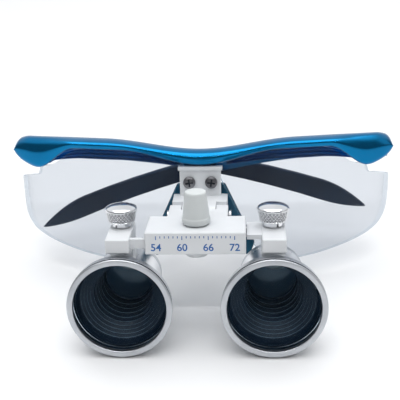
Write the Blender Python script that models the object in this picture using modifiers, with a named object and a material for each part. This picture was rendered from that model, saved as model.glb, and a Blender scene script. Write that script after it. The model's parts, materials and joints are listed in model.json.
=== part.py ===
"""Dental loupes: two short barrels on a pupil-distance slide, hinged to wrap-around glasses.

Everything is designed in the worn frame: X across the face, Y backwards along the barrels and
Z up, with the origin midway between the two bezel fronts. Left and right are as seen from the
front, so left is -X. The empty named stand leans the whole object back, as it rests on a table.
Lengths below are in millimetres and are turned into metres by MM.
"""

import math

import bmesh
import bpy
from mathutils import Matrix, Vector

MM = 0.001
GAP = 0.3
RUN = 0.1

# Barrels
PUPIL_DISTANCE = 54.0
BARREL_X = PUPIL_DISTANCE / 2
BEZEL_R = 18.65
BEZEL_LENGTH = 5.2
BEZEL_TAPER = 0.4
BEZEL_OPENING_R = 16.5
BODY_R = 12.0
BARREL_LENGTH = 33.5
BAFFLE_PITCH = 3.6
BAFFLE_BORES = (8.8, 9.2, 9.6, 10.2, 12.2)

# Slide housing and the racks inside it
HOUSING_HALF = 17.35
HOUSING_FRONT = 2.8
HOUSING_BACK = 19.7
HOUSING_BOTTOM = 19.5
HOUSING_TOP = 27.6
RACK_LOW = 20.7
RACK_HIGH = 24.3
GEAR_MODULE = 0.6
GEAR_TEETH = 12
GEAR_Y = 11.5
PITCH_R = GEAR_MODULE * GEAR_TEETH / 2
PRESSURE_ANGLE = math.radians(25)
ADDENDUM = 0.5
DEDENDUM = 0.75
BACKLASH = 0.16

# Blocks over the barrels and their thumb screws
BLOCK_HALF = 4.15
BLOCK_FRONT = 2.8
BLOCK_BACK = 22.0
BLOCK_BOTTOM = 19.9
BLOCK_TOP = 24.9
SCREW_Y = 16.7
SCREW_R = 1.5
HANGER_HALF = 4.1

# Flip hinge
FLIP_Y = 31.0
FLIP_Z = 23.5
KNUCKLE_R = HOUSING_TOP - FLIP_Z
NECK_HALF = 10.75
TONGUE_HALF = 6.2
PIN_R = 1.2
HINGE_ROOM = 0.4
SHOULDER_HALF = 10.35
BRACKET_BOTTOM = 19.4

# Mount plate
PLATE_FRONT = 42.8
PLATE_BACK = 45.1
PLATE_HALF = 7.9
PLATE_TOP = 39.0
PLATE_SCREW_X = 4.2
PLATE_SCREW_Z = 33.0

# Lens and brow, both wrapped on superellipses in plan
LENS_HALF = 76.6
LENS_FRONT = 45.4
LENS_WRAP = 30.0
LENS_THICK = 1.8
BROW_HALF = 80.0
BROW_FRONT = 42.4
BROW_WRAP = 22.0
BROW_DEPTH = 6.8
BROW_END = 74.5
RAIL_START = 10.0
RAIL_END = 61.5
RAIL_DEPTH = 1.6
WRAP_POWER = 2.4

# Temples
HINGE_X = 70.5
HINGE_Y = 62.4
TEMPLE_THICK = 2.4
TEMPLE_HALF_HEIGHT = 3.3
TEMPLE_LENGTH = 138.0
SLEEVE_START = 66.0
SLEEVE_WALL = 0.3
SLEEVE_END_HALF = 4.4
TIP_LENGTH = 18.0
TIP_LOW = 0.8
SLEEVE_SIDE = 0.2
LEFT_FOLD = math.radians(3.2)
# Each temple falls from its hinge as the square of the distance along it.
TEMPLE_DROP = {"left": (41.6, 703.0), "right": (42.3, 565.0)}

# Rest on a table: each barrel stands on its bezel's rear edge and on its eyepiece ring.
RING_R = BODY_R - 0.1
RING_END = BARREL_LENGTH - 0.6
FRONT_FOOT_R = BEZEL_R - BEZEL_TAPER
LEAN_BACK = math.atan2(FRONT_FOOT_R - RING_R, RING_END - BEZEL_LENGTH)
LIFT = math.sin(LEAN_BACK) * BEZEL_LENGTH + math.cos(LEAN_BACK) * FRONT_FOOT_R
CENTRE_Y = 35.259

SIDES = {"left": -1, "right": 1}

for old in list(bpy.data.objects):
    bpy.data.objects.remove(old, do_unlink=True)

parts = bpy.data.collections.new("dental_loupes")
cutters = bpy.data.collections.new("cutters")
bpy.context.scene.collection.children.link(parts)
bpy.context.scene.collection.children.link(cutters)
cutters.hide_render = True


# ---------------------------------------------------------------- helpers

def material(name, colour, roughness, metallic=0.0, alpha=1.0):
    made = bpy.data.materials.new(name)
    made.use_nodes = True
    shader = made.node_tree.nodes["Principled BSDF"]
    shader.inputs["Base Color"].default_value = (*colour, 1.0)
    shader.inputs["Roughness"].default_value = roughness
    shader.inputs["Metallic"].default_value = metallic
    shader.inputs["Alpha"].default_value = alpha
    return made


WHITE = material("white_plastic", (0.84, 0.86, 0.88), 0.4)
GREY = material("grey_plastic", (0.62, 0.65, 0.65), 0.45)
CHROME = material("chrome", (0.75, 0.76, 0.78), 0.2, 1.0)
STEEL = material("steel", (0.55, 0.56, 0.58), 0.3, 1.0)
ALUMINIUM = material("satin_aluminium", (0.6, 0.62, 0.64), 0.4, 1.0)
SILVER = material("silver_barrel", (0.78, 0.79, 0.82), 0.35, 0.6)
BLACK = material("black_baffle", (0.01, 0.015, 0.025), 0.5)
GLASS = material("optical_glass", (0.3, 0.4, 0.5), 0.05, 0.0, 0.35)
CLEAR = material("clear_lens", (0.85, 0.88, 0.92), 0.05, 0.0, 0.3)
BLUE = material("blue_frame", (0.0, 0.18, 0.5), 0.15)
NAVY = material("navy_sleeve", (0.012, 0.025, 0.06), 0.55)
TEAL = material("teal_nosepiece", (0.01, 0.09, 0.18), 0.5)

worn_place = {}


def pivot(name, at, holder=None):
    """An empty at a place in the worn frame, which carries what turns or slides there."""
    empty = bpy.data.objects.new(name, None)
    empty.empty_display_size = 5 * MM
    parts.objects.link(empty)
    worn_place[name] = Vector(at) * MM
    empty.location = worn_place[name]
    if holder:
        empty.parent = holder
        empty.location = worn_place[name] - worn_place[holder.name]
    return empty


def attach(thing, holder):
    thing.parent = holder
    thing.matrix_parent_inverse = Matrix.Translation(-worn_place[holder.name])
    return thing


def new_object(name, mesh, holder, look=None):
    thing = bpy.data.objects.new(name, mesh)
    if look:
        parts.objects.link(thing)
        mesh.materials.append(look)
    else:
        cutters.objects.link(thing)
        thing.hide_render = True
        thing.display_type = "WIRE"
    return attach(thing, holder)


def from_bmesh(name, cage, holder, look=None):
    mesh = bpy.data.meshes.new(name)
    bmesh.ops.recalc_face_normals(cage, faces=cage.faces)
    cage.to_mesh(mesh)
    cage.free()
    return new_object(name, mesh, holder, look)


def box(name, low, high, holder, look=None, bevel=0.0):
    """A block between two corners, with its edges rounded by a Bevel where asked."""
    low, high = Vector(low) * MM, Vector(high) * MM
    cage = bmesh.new()
    bmesh.ops.create_cube(cage, size=1.0)
    bmesh.ops.scale(cage, vec=high - low, verts=cage.verts)
    bmesh.ops.translate(cage, vec=(low + high) / 2, verts=cage.verts)
    thing = from_bmesh(name, cage, holder, look)
    if bevel:
        add_bevel(thing, bevel)
    return thing


def rod(name, base, top, radius, holder, look=None, sides=28):
    """A cylinder from one point to another."""
    base, top = Vector(base) * MM, Vector(top) * MM
    along = top - base
    turn = along.to_track_quat("Z", "Y").to_matrix().to_4x4()
    cage = bmesh.new()
    bmesh.ops.create_cone(
        cage, cap_ends=True, segments=sides, radius1=radius * MM, radius2=radius * MM,
        depth=along.length, matrix=Matrix.Translation((base + top) / 2) @ turn)
    return smooth(from_bmesh(name, cage, holder, look))


def turned(name, profile, at, holder, look=None, axis="Z", steps=32):
    """A closed (radius, height) profile spun about an axis through a point.

    The profile runs down its outer side first, so that the faces point out.
    """
    mesh = bpy.data.meshes.new(name)
    ends = [(i, i + 1) for i in range(len(profile) - 1)]
    if profile[0][0] > 0 or profile[-1][0] > 0:
        ends.append((len(profile) - 1, 0))
    mesh.from_pydata([(r * MM, 0, h * MM) for r, h in profile], ends, [])
    turn = {"Z": Matrix.Identity(4), "-Y": Matrix.Rotation(math.radians(90), 4, "X")}[axis]
    thing = new_object(name, mesh, holder, look)
    thing.matrix_basis = Matrix.Translation(Vector(at) * MM) @ turn
    screw = thing.modifiers.new("Screw", "SCREW")
    screw.axis = "Z"
    screw.steps = steps
    screw.render_steps = steps
    screw.use_merge_vertices = True
    screw.merge_threshold = 1e-6
    screw.use_smooth_shade = True
    return thing


def outline(name, points, centre, depth, holder, look=None, plane="XZ"):
    """A flat closed outline given half its depth to either side, as a welded mesh."""
    curve = bpy.data.curves.new(name, "CURVE")
    curve.dimensions = "2D"
    curve.fill_mode = "BOTH"
    curve.extrude = depth / 2 * MM
    spline = curve.splines.new("POLY")
    spline.points.add(len(points) - 1)
    for point, (u, v) in zip(spline.points, points):
        point.co = (u * MM, v * MM, 0, 1)
    spline.use_cyclic_u = True
    drawn = bpy.data.objects.new(name + "_curve", curve)
    parts.objects.link(drawn)
    turn = {
        "XY": Matrix.Identity(4),
        "XZ": Matrix.Rotation(math.radians(90), 4, "X"),
        "YZ": Matrix.Rotation(math.radians(90), 4, "Z") @ Matrix.Rotation(math.radians(90), 4, "X"),
    }[plane]
    bpy.context.view_layer.update()
    graph = bpy.context.evaluated_depsgraph_get()
    mesh = bpy.data.meshes.new_from_object(drawn.evaluated_get(graph))
    bpy.data.objects.remove(drawn, do_unlink=True)
    cage = bmesh.new()
    cage.from_mesh(mesh)
    bpy.data.meshes.remove(mesh)
    bmesh.ops.remove_doubles(cage, verts=cage.verts, dist=1e-6)
    cage.transform(Matrix.Translation(Vector(centre) * MM) @ turn)
    return from_bmesh(name, cage, holder, look)


def add_bevel(thing, width, segments=1):
    bevel = thing.modifiers.new("Bevel", "BEVEL")
    bevel.width = width * MM
    bevel.segments = segments
    bevel.limit_method = "ANGLE"
    bevel.angle_limit = math.radians(40)
    return thing


def combine(thing, other, operation):
    boolean = thing.modifiers.new(operation.title(), "BOOLEAN")
    boolean.operation = operation
    boolean.solver = "EXACT"
    boolean.object = other
    return thing


def cut(thing, *others):
    for other in others:
        combine(thing, other, "DIFFERENCE")
    return thing


def join(thing, *others):
    for other in others:
        combine(thing, other, "UNION")
    return thing


def smooth(thing, angle=35):
    thing.data.shade_smooth()
    thing.data.set_sharp_from_angle(angle=math.radians(angle))
    return thing


def blend(points, x):
    """Height of the monotone cubic through (x, height) points, the same on both sides of x = 0."""
    x = min(abs(x), points[-1][0])
    slopes = [(h1 - h0) / (x1 - x0) for (x0, h0), (x1, h1) in zip(points, points[1:])]
    lean = [0.0 if points[0][0] == 0 else slopes[0]]
    for before, after in zip(slopes, slopes[1:]):
        lean.append(2 * before * after / (before + after) if before * after > 0 else 0.0)
    lean.append(slopes[-1])
    place = max(i for i in range(len(slopes)) if points[i][0] <= x or i == 0)
    (x0, h0), (x1, h1) = points[place], points[place + 1]
    run, t = x1 - x0, (x - x0) / (x1 - x0)
    return (h0 * (1 + 2 * t) * (1 - t) ** 2 + lean[place] * run * t * (1 - t) ** 2
            + h1 * t * t * (3 - 2 * t) + lean[place + 1] * run * t * t * (t - 1))


def wrap(x, half, front, depth):
    """Y of a sheet that wraps back towards its ends, in plan."""
    reach = min(abs(x) / half, 1.0)
    return front + depth * (1 - (1 - reach ** WRAP_POWER) ** (1 / WRAP_POWER))


def sheet(name, stations, rows, low, high, plan, holder, look):
    """An open sheet over a list of x stations, between two edge heights, laid on a plan curve."""
    cage = bmesh.new()
    bmesh.ops.create_grid(cage, x_segments=len(stations) - 1, y_segments=rows, size=0.5)
    for vert in cage.verts:
        place = round((vert.co.x + 0.5) * (len(stations) - 1))
        x = stations[place]
        share = vert.co.y + 0.5
        vert.co = Vector((x, plan(x), low(x) + (high(x) - low(x)) * share)) * MM
    return from_bmesh(name, cage, holder, look)


def thicken(thing, depth):
    """Gives an open sheet a depth along Y, as a moulding that is drawn straight back."""
    cage = bmesh.new()
    cage.from_mesh(thing.data)
    grown = bmesh.ops.extrude_face_region(cage, geom=cage.faces[:])
    back = [item for item in grown["geom"] if isinstance(item, bmesh.types.BMVert)]
    bmesh.ops.translate(cage, vec=(0, depth * MM, 0), verts=back)
    bmesh.ops.recalc_face_normals(cage, faces=cage.faces)
    cage.to_mesh(thing.data)
    cage.free()
    return thing


# ---------------------------------------------------------------- where everything turns

stand = pivot("stand", (0, 0, 0))
stand.rotation_euler = (-LEAN_BACK, 0, 0)
stand.location = (0, -CENTRE_Y * MM, LIFT * MM)

flip = pivot("flip_pivot", (0, FLIP_Y, FLIP_Z), stand)
pinion_axis = pivot("pinion_axis", (0, GEAR_Y, RACK_LOW), flip)
slides, swivels, screws, temple_pins = {}, {}, {}, {}
for side, way in SIDES.items():
    slides[side] = pivot(side + "_slide_origin", (way * BARREL_X, SCREW_Y, BLOCK_TOP), flip)
    swivels[side] = pivot(side + "_swivel_axis", (way * BARREL_X, SCREW_Y, 0), slides[side])
    screws[side] = pivot(side + "_thumb_screw_axis", (way * BARREL_X, SCREW_Y, 30), slides[side])
    temple_pins[side] = pivot(side + "_temple_pin", (way * HINGE_X, HINGE_Y, 42), stand)
temple_pins["left"].rotation_euler = (0, 0, LEFT_FOLD)


# ---------------------------------------------------------------- glasses

BROW_TOP_LINE = ((0, 44.8), (36, 48.9), (50, 49.1), (68, 48.5), (72, 47.0), (BROW_END, 44.2))
BROW_LOW_LINE = ((0, 39.4), (30, 45.3), (49, 45.6), (64.6, 37.1), (70.6, 39.0), (BROW_END, 42.6))
LENS_TOP_LINE = ((0, 38.9), (30, 44.6), (46, 44.9), (62, 36.6), (64.6, 36.4), (66.2, 32.3), (70, 31.4),
                 (73, 30.3), (75, 29.2), (76.0, 26.8))
LENS_LOW_LINE = ((21.3, 4.5), (31.0, -1.0), (41, 0.2), (58, 4.2), (69.4, 8.6), (73.8, 13.0), (75.6, 19.0),
                 (76.0, 25.5))
NOTCH_TOP = (6.5, 36.0)
RAIL_TOP_LINE = ((0, 38.6), (30, 44.2), (44, 44.4), (RAIL_END, 39.8))
RAIL_LOW_LINE = ((0, 37.6), (30, 40.0), (46, 40.0), (58.5, 38.4), (RAIL_END, 36.6))


def nose_notch(x):
    """Lower edge of the lens: an inverted V over the nose, then the two rounded lobes."""
    foot_x, foot_z = LENS_LOW_LINE[0]
    if abs(x) > foot_x:
        return blend(LENS_LOW_LINE, x)
    share = max(0.0, abs(x) - NOTCH_TOP[0]) / (foot_x - NOTCH_TOP[0])
    return NOTCH_TOP[1] + (foot_z - NOTCH_TOP[1]) * share


def brow_plan(x):
    return wrap(x, BROW_HALF, BROW_FRONT, BROW_WRAP)


def lens_plan(x):
    return wrap(x, LENS_HALF, LENS_FRONT, LENS_WRAP)


def make_brow():
    """The glossy top frame, with the tab for the bracket and the temple lugs behind its ends."""
    xs = [BROW_END * math.sin(math.radians(a)) for a in range(-90, 91, 6)]
    brow = sheet("brow_frame", xs, 1, lambda x: blend(BROW_LOW_LINE, x),
                 lambda x: blend(BROW_TOP_LINE, x), brow_plan, stand, BLUE)
    thicken(brow, BROW_DEPTH)
    tab = box("brow_tab", (-6.8, LENS_FRONT + LENS_THICK + GAP, 27.5), (6.8, 50.0, 42.0), stand)
    boss = box("tab_boss", (-5.9, PLATE_BACK + GAP, 27.8), (5.9, 48.5, 35.4), stand)
    join(brow, tab, boss)
    for side, way in SIDES.items():
        for low in (38.9, 44.0):
            lug = rod(f"{side}_lug_{low:.0f}", (way * HINGE_X, HINGE_Y, low),
                      (way * HINGE_X, HINGE_Y, low + 1.6), 2.4, stand, sides=20)
            neck = box(f"{side}_lug_neck_{low:.0f}", (way * HINGE_X - 2.4, 56.0, low),
                       (way * HINGE_X + 2.4, HINGE_Y, low + 1.6), stand)
            join(brow, lug, neck)
        cut(brow, rod(f"{side}_knuckle_room", (way * HINGE_X, HINGE_Y, 40.5), (way * HINGE_X, HINGE_Y, 44.0),
                      2.6, stand, sides=24))
        cut(brow, rod(f"{side}_hinge_bore", (way * HINGE_X, HINGE_Y, 37), (way * HINGE_X, HINGE_Y, 47),
                      0.7 + RUN, stand, sides=16))
    for way in SIDES.values():
        cut(brow, rod(f"tab_bore_{way}", (way * PLATE_SCREW_X, 44, PLATE_SCREW_Z),
                      (way * PLATE_SCREW_X, 52, PLATE_SCREW_Z), 1.2 + GAP, stand, sides=20))


def make_lens():
    xs = [LENS_HALF * math.sin(math.radians(a)) for a in range(-82, 83, 4)]
    xs = sorted(set(xs + [s * x for s in (-1, 1) for x in (NOTCH_TOP[0], LENS_LOW_LINE[0][0], 64.6, 66.2)]))
    lens = sheet("shield_lens", xs, 3, nose_notch, lambda x: blend(LENS_TOP_LINE, x),
                 lens_plan, stand, CLEAR)
    thick = lens.modifiers.new("Solidify", "SOLIDIFY")
    thick.thickness = LENS_THICK * MM
    thick.offset = -1.0
    thick.use_even_offset = True


def make_rail():
    """The darker inner rail, which clips behind the lens's top edge."""
    for side, way in SIDES.items():
        xs = [way * (RAIL_START + (RAIL_END - RAIL_START) * i / 12) for i in range(13)]
        rail = sheet(f"lens_rail_{side}", sorted(xs), 1, lambda x: blend(RAIL_LOW_LINE, x),
                     lambda x: blend(RAIL_TOP_LINE, x),
                     lambda x: lens_plan(x) + LENS_THICK + 0.9, stand, NAVY)
        thicken(rail, RAIL_DEPTH)


def make_nosepiece():
    """An inverted V behind the lens notch, with a soft pad on the back of each leg."""
    right_half = [(7.2, 27.2), (7.2, 31.0), (9.4, 30.6), (20.8, 6.0), (18.8, 0.5), (15.0, 2.0), (6.0, 22.0)]
    legs = right_half + [(-x, z) for x, z in reversed(right_half)]
    bridge = outline("nosepiece", legs, (0, 48.9, 0), 2.0, stand, TEAL)
    add_bevel(bridge, 0.4)
    for side, way in SIDES.items():
        pad = [(way * x, z) for x, z in ((9.6, 18.0), (12.6, 17.0), (17.0, 7.6), (15.4, 4.2), (13.0, 5.2))]
        soft = outline(f"nose_pad_{side}", pad, (0, 51.8, 0), 3.0, stand, NAVY)
        add_bevel(soft, 0.8)


def temple_centre(side, along):
    top, fall = TEMPLE_DROP[side]
    return top - along * along / fall


def temple_outline(side, stations):
    """A closed outline through (distance from the hinge, height above and below the middle) stations."""
    way = SIDES[side]
    upper, lower = [], []
    for along, above, below in stations:
        middle = temple_centre(side, along)
        x = way * (HINGE_X - along)
        upper.append((x, middle + above))
        if above > below:
            lower.insert(0, (x, middle + below))
    return upper + lower


def evenly(start, end, half, end_half, count=10):
    """Stations evenly spaced along a temple, while its half height changes evenly."""
    stations = []
    for i in range(count + 1):
        share = i / count
        here = half + (end_half - half) * share
        stations.append((start + (end - start) * share, here, -here))
    return stations


def make_temple(side):
    way = SIDES[side]
    pin = temple_pins[side]
    bare = evenly(3.2, SLEEVE_START - GAP, TEMPLE_HALF_HEIGHT, TEMPLE_HALF_HEIGHT)
    front = outline(f"temple_{side}", temple_outline(side, bare), (0, HINGE_Y, 0), TEMPLE_THICK, pin, BLUE)
    knuckle = rod(f"{side}_temple_knuckle", (way * HINGE_X, HINGE_Y, 40.8), (way * HINGE_X, HINGE_Y, 43.7),
                  2.2, pin, sides=20)
    reach = sorted((way * HINGE_X, way * (HINGE_X - 5.0)))
    neck = box(f"{side}_temple_neck", (reach[0], HINGE_Y - 1.0, 40.8), (reach[1], HINGE_Y + 1.0, 43.7), pin)
    bore = rod(f"{side}_temple_bore", (way * HINGE_X, HINGE_Y, 37), (way * HINGE_X, HINGE_Y, 47),
               0.7 + RUN, pin, sides=16)
    cut(join(front, neck, knuckle), bore)
    half = SLEEVE_END_HALF
    stations = evenly(SLEEVE_START, TEMPLE_LENGTH - TIP_LENGTH, TEMPLE_HALF_HEIGHT + SLEEVE_WALL, half)
    for step in range(1, 7):
        share = step / 6
        swell = 1 - share * share
        along = TEMPLE_LENGTH - TIP_LENGTH * (1 - share)
        stations.append((along, (half + TIP_LOW) * swell - TIP_LOW, (TIP_LOW - half) * swell - TIP_LOW))
    outline(f"temple_sleeve_{side}", temple_outline(side, stations), (0, HINGE_Y, 0),
            TEMPLE_THICK + 2 * SLEEVE_SIDE, pin, NAVY)
    screw = rod(f"temple_screw_{side}", (way * HINGE_X, HINGE_Y, 38.7), (way * HINGE_X, HINGE_Y, 45.8),
                0.7, stand, STEEL, sides=16)
    join(screw, rod(f"{side}_temple_screw_head", (way * HINGE_X, HINGE_Y, 45.8 + 0.1),
                    (way * HINGE_X, HINGE_Y, 46.6), 1.5, stand, sides=16),
         rod(f"{side}_temple_screw_neck", (way * HINGE_X, HINGE_Y, 45.0), (way * HINGE_X, HINGE_Y, 46.2),
             0.7, stand, sides=16))


# ---------------------------------------------------------------- bracket and flip hinge

def make_bracket():
    """The plate on the brow's tab, the fixed half of the flip hinge, its pin and the pin's clip."""
    plate = box("mount_plate", (-PLATE_HALF, PLATE_FRONT, BRACKET_BOTTOM),
                (PLATE_HALF, PLATE_BACK, PLATE_TOP), stand, WHITE, bevel=0.3)
    lip_half = PLATE_HALF + 0.55
    lip = box("plate_lip", (-lip_half, PLATE_FRONT - 0.6, PLATE_TOP - 1.2),
              (lip_half, PLATE_BACK, PLATE_TOP), stand)
    shoulder = box("fixed_shoulder", (-SHOULDER_HALF, FLIP_Y + KNUCKLE_R + HINGE_ROOM, BRACKET_BOTTOM),
                   (SHOULDER_HALF, PLATE_BACK, HOUSING_TOP), stand)
    tongue = box("fixed_tongue", (-TONGUE_HALF, FLIP_Y, BRACKET_BOTTOM),
                 (TONGUE_HALF, PLATE_FRONT + 1, HOUSING_TOP), stand)
    knuckle = rod("fixed_knuckle", (-TONGUE_HALF, FLIP_Y, FLIP_Z), (TONGUE_HALF, FLIP_Y, FLIP_Z),
                  KNUCKLE_R, stand)
    join(plate, lip, shoulder, tongue, knuckle)
    cut(plate, rod("fixed_pin_bore", (-11, FLIP_Y, FLIP_Z), (11, FLIP_Y, FLIP_Z), PIN_R + RUN, stand))
    for side, way in SIDES.items():
        x = way * PLATE_SCREW_X
        cut(plate, rod(f"{side}_plate_bore", (x, 40, PLATE_SCREW_Z), (x, 46, PLATE_SCREW_Z), 1.2 + GAP, stand,
                       sides=20))
        screw = rod(f"plate_screw_{side}", (x, PLATE_FRONT - 1.8, PLATE_SCREW_Z),
                    (x, PLATE_FRONT - GAP, PLATE_SCREW_Z), 2.35, stand, STEEL, sides=24)
        shank = rod(f"{side}_plate_shank", (x, PLATE_FRONT - 1, PLATE_SCREW_Z), (x, 49.7, PLATE_SCREW_Z),
                    1.2, stand, sides=16)
        slot_a = box(f"{side}_cross_a", (x - 1.3, 40, PLATE_SCREW_Z - 0.3),
                     (x + 1.3, PLATE_FRONT - 0.9, PLATE_SCREW_Z + 0.3), stand)
        slot_b = box(f"{side}_cross_b", (x - 0.3, 40, PLATE_SCREW_Z - 1.3),
                     (x + 0.3, PLATE_FRONT - 0.9, PLATE_SCREW_Z + 1.3), stand)
        cut(join(screw, shank), slot_a, slot_b)
    pin = rod("flip_pin", (-NECK_HALF - 0.9, FLIP_Y, FLIP_Z), (NECK_HALF + 0.6, FLIP_Y, FLIP_Z), PIN_R,
              flip, STEEL)
    head = rod("pin_head", (NECK_HALF + GAP, FLIP_Y, FLIP_Z), (NECK_HALF + 1.2, FLIP_Y, FLIP_Z), 2.2, flip)
    join(pin, head)
    clip_profile = [(2.2, 0.9), (2.2, 0.0), (PIN_R + RUN, 0.0), (PIN_R + RUN, 0.9)]
    clip = turned("flip_pin_clip", clip_profile, (0, 0, 0), flip, STEEL, steps=20)
    clip.matrix_basis = (Matrix.Translation(Vector((-NECK_HALF - GAP - 0.9, FLIP_Y, FLIP_Z)) * MM)
                         @ Matrix.Rotation(math.radians(90), 4, "Y"))


# ---------------------------------------------------------------- housing, gear and racks

def make_housing():
    """The white slide housing, open at each end for its rack, with the two moving hinge cheeks."""
    housing = box("slide_housing", (-HOUSING_HALF, HOUSING_FRONT, HOUSING_BOTTOM),
                  (HOUSING_HALF, HOUSING_BACK, HOUSING_TOP), flip, WHITE, bevel=0.35)
    neck_end = FLIP_Y - KNUCKLE_R - HINGE_ROOM
    neck = box("moving_neck", (-NECK_HALF, HOUSING_BACK - 1, HOUSING_BOTTOM),
               (NECK_HALF, neck_end, HOUSING_TOP), flip)
    join(housing, neck)
    for side, way in SIDES.items():
        inner, outer = TONGUE_HALF + GAP, NECK_HALF
        xs = sorted((way * inner, way * outer))
        cheek = box(f"{side}_cheek", (xs[0], neck_end - 1, HOUSING_BOTTOM),
                    (xs[1], FLIP_Y, HOUSING_TOP), flip)
        end = rod(f"{side}_cheek_end", (xs[0], FLIP_Y, FLIP_Z), (xs[1], FLIP_Y, FLIP_Z), KNUCKLE_R, flip)
        join(housing, cheek, end)
    cut(housing, rod("moving_pin_bore", (-12, FLIP_Y, FLIP_Z), (12, FLIP_Y, FLIP_Z), PIN_R + RUN, flip))
    low, high = RACK_LOW - GAP, RACK_HIGH + GAP
    pitch_front, pitch_back = GEAR_Y - PITCH_R, GEAR_Y + PITCH_R
    cut(housing,
        box("front_channel", (-20, 4.8, low), (HOUSING_HALF - 1.2, pitch_front + ADDENDUM + GAP, high), flip),
        box("rear_channel", (-HOUSING_HALF + 1.2, pitch_back - ADDENDUM - GAP, low), (20, 18.2, high), flip),
        rod("gear_well", (0, GEAR_Y, 18), (0, GEAR_Y, high), PITCH_R + ADDENDUM + 0.5, flip, sides=32),
        rod("shaft_bore", (0, GEAR_Y, 24), (0, GEAR_Y, 29), 2.0 + RUN, flip, sides=28))


def involute(base_r, radius):
    """Angle that an involute has unrolled by when it reaches a radius."""
    if radius <= base_r:
        return 0.0
    reach = math.sqrt((radius / base_r) ** 2 - 1)
    return reach - math.atan(reach)


def gear_outline():
    """A spur gear with one tooth pointing along +Y and one along -Y."""
    base_r = PITCH_R * math.cos(PRESSURE_ANGLE)
    root_r, tip_r = PITCH_R - DEDENDUM, PITCH_R + ADDENDUM
    half = math.pi / 2 / GEAR_TEETH - BACKLASH / 2 / PITCH_R
    radii = [max(root_r, base_r * 0.995), PITCH_R, tip_r]
    points = []
    for tooth in range(GEAR_TEETH):
        middle = math.pi / 2 + 2 * math.pi * tooth / GEAR_TEETH
        flank = [(r, half + involute(base_r, PITCH_R) - involute(base_r, r)) for r in radii]
        flank.insert(0, (root_r, flank[0][1]))
        for r, spread in flank:
            points.append((r * math.cos(middle - spread), r * math.sin(middle - spread)))
        for r, spread in reversed(flank):
            points.append((r * math.cos(middle + spread), r * math.sin(middle + spread)))
    return points


def make_gear():
    gear = outline("pinion", gear_outline(), (0, GEAR_Y, (RACK_LOW + RACK_HIGH) / 2),
                   RACK_HIGH - RACK_LOW - 0.2, pinion_axis, STEEL, plane="XY")
    join(gear,
         rod("pinion_shaft", (0, GEAR_Y, 22), (0, GEAR_Y, 33.0), 2.0, pinion_axis, sides=24),
         rod("pinion_stub", (0, GEAR_Y, 19.6), (0, GEAR_Y, 22), 1.4, pinion_axis, sides=20))
    knob = [(0, 39.6), (3.7, 39.6), (4.15, 39.2), (4.7, 30.4), (4.95, 30.0), (5.0, 28.4), (4.6, 27.9),
            (2.0 + RUN, 27.9), (2.0 + RUN, 33.3), (0, 33.3)]
    turned("pinion_knob", knob, (0, GEAR_Y, 0), pinion_axis, GREY, steps=32)
    cap = [(4.3, 20.4), (4.3, 17.0), (3.8, 16.2), (0, 16.2), (0, 19.3), (1.5, 19.3), (1.5, 20.4)]
    turned("pinion_cap", cap, (0, GEAR_Y, 0), flip, WHITE, steps=28)


def rack_outline(pitch_line, spine, first, last):
    """A straight rack along X: its teeth face the gear, and a space sits at x = 0."""
    pitch = math.pi * GEAR_MODULE
    facing = 1 if pitch_line > spine else -1
    root, tip = pitch_line - facing * DEDENDUM, pitch_line + facing * ADDENDUM
    slope = math.tan(PRESSURE_ANGLE)
    half = pitch / 4 - BACKLASH / 2
    points = [(first * pitch, root)]
    for index in range(first, last):
        middle = (index + 0.5) * pitch
        points += [(middle - half - DEDENDUM * slope, root), (middle - half + ADDENDUM * slope, tip),
                   (middle + half - ADDENDUM * slope, tip), (middle + half + DEDENDUM * slope, root)]
    points += [(last * pitch, root), (last * pitch, spine), (first * pitch, spine)]
    return points


def make_slide(side):
    """A rack, the arm that leaves the housing, and the block that carries a barrel."""
    way = SIDES[side]
    holder = slides[side]
    x = way * BARREL_X
    block = box(f"slide_block_{side}", (x - BLOCK_HALF, BLOCK_FRONT, BLOCK_BOTTOM),
                (x + BLOCK_HALF, BLOCK_BACK, BLOCK_TOP), holder, WHITE, bevel=0.3)
    inner = BARREL_X - BLOCK_HALF + 0.5
    if side == "left":
        line, spine = GEAR_Y - PITCH_R, 5.2
        arm = box("left_arm", (-inner, spine + 0.1, RACK_LOW + 0.1),
                  (-3.0, line - DEDENDUM - 0.1, RACK_HIGH - 0.1), holder)
    else:
        line, spine = GEAR_Y + PITCH_R, 17.9
        arm = box("right_arm", (3.0, line + DEDENDUM + 0.1, RACK_LOW + 0.1),
                  (inner, spine - 0.1, RACK_HIGH - 0.1), holder)
        web = box("right_web", (HOUSING_HALF + GAP, 8.5, 22.8), (inner, 21.6, 24.5), holder)
        join(arm, web)
    # The inner end runs past the gear, so that the rack stays in mesh over its whole travel.
    first, last = (-3, 8) if side == "left" else (-8, 3)
    teeth = outline(f"{side}_rack_teeth", rack_outline(line, spine, first, last),
                    (0, 0, (RACK_LOW + RACK_HIGH) / 2), RACK_HIGH - RACK_LOW, holder, plane="XY")
    join(arm, teeth)
    arm.modifiers[-1].solver = "MANIFOLD"
    join(block, arm)
    cut(block, rod(f"{side}_block_bore", (x, SCREW_Y, 18), (x, SCREW_Y, 26), SCREW_R + RUN, holder, sides=24))
    ring = [(3.3, 26.5), (3.3, 25.2), (SCREW_R + GAP, 25.2), (SCREW_R + GAP, 26.5)]
    washer = turned(f"spring_washer_{side}", ring, (x, SCREW_Y, 0), holder, STEEL, steps=24)
    slit = box(f"{side}_washer_slit", (x + way * 1.5 - 0.3, SCREW_Y - 4, 25),
               (x + way * 1.5 + 0.3, SCREW_Y - 1, 26.7), holder)
    cut(washer, slit)
    knob = [(0, 33.3), (2.6, 33.2), (4.6, 32.7), (5.75, 31.9), (5.75, 31.3), (4.9, 27.2), (4.5, 26.8),
            (SCREW_R, 26.8), (SCREW_R, 14.6), (0, 14.6)]
    turned(f"thumb_screw_{side}", knob, (x, SCREW_Y, 0), screws[side], CHROME, steps=28)


# ---------------------------------------------------------------- barrels

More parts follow.
